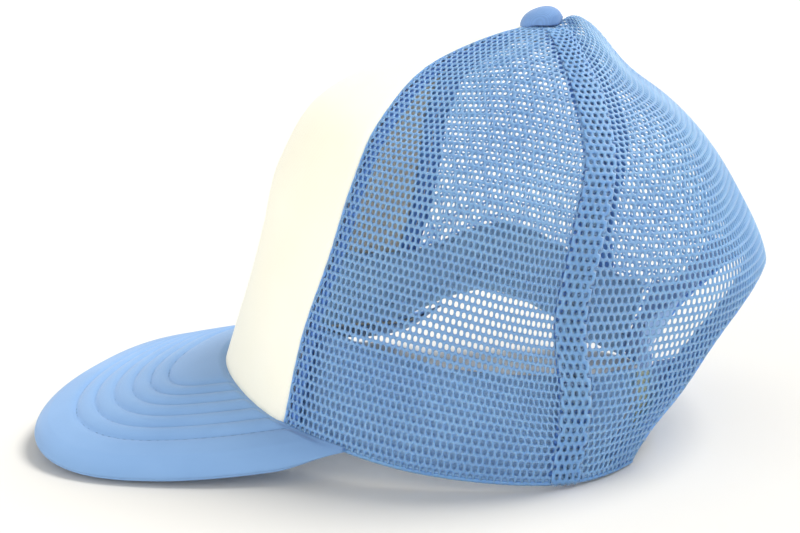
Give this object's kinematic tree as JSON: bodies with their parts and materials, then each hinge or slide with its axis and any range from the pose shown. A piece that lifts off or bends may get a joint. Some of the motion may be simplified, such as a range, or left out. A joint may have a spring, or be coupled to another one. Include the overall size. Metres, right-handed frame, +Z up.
{
  "type": "trucker cap",
  "caption": "Trucker cap with a foam front panel, net side and back panels, a padded stitched visor, a covered top button and a snap strap across the rear arch.",
  "frame": {"origin": "middle of the head opening, on the table the cap lies on", "axes": "+Z up from the table, -Y towards the visor's tip, +X towards the wearer's left"},
  "size_m": [0.1828, 0.2598, 0.1444],
  "materials": {
    "foam_front": "matte cloth on foam",
    "net": "knitted polyester net",
    "tape": "doubled net and tape",
    "band": "woven cotton",
    "visor_cloth": "matte cloth",
    "board": "plain sheet",
    "thread": "polyester thread",
    "button_metal": "plain pressed metal",
    "strap_plastic": "soft moulded plastic",
    "label_cloth": "woven tape"
  },
  "bodies": {
    "cap": {"front_panel": "foam_front", "side_mesh_left": "net", "side_mesh_right": "net", "back_mesh_left": "net", "back_mesh_right": "net", "front_seam_left": "tape", "front_seam_right": "tape", "side_seam_left": "tape", "side_seam_right": "tape", "back_seam": "tape", "arch_hem": "tape", "sweatband": "band", "visor_top_cover": "visor_cloth", "visor_board": "board", "visor_under_cover": "visor_cloth", "visor_stitching": "thread", "button_cover": "visor_cloth", "button_shell": "button_metal", "button_post": "button_metal", "button_washer": "button_metal", "strap_tab_left": "strap_plastic", "strap_tab_right": "strap_plastic", "inner_label": "label_cloth"},
    "hole_strap": {"strap_holes": "strap_plastic"},
    "peg_strap": {"strap_pegs": "strap_plastic"}
  },
  "joints": [
    {"name": "hole_strap_swing", "type": "hinge", "parent": "cap", "child": "hole_strap", "pos_m": [0.04, 0.0663, 0.012], "axis": [0, 0, -1], "range_deg": [0, 75], "stiffness_Nm_per_rad": 0.02},
    {"name": "peg_strap_swing", "type": "hinge", "parent": "cap", "child": "peg_strap", "pos_m": [-0.04, 0.0647, 0.012], "axis": [0, 0, -1], "range_deg": [0, 45], "stiffness_Nm_per_rad": 0.02}
  ]
}
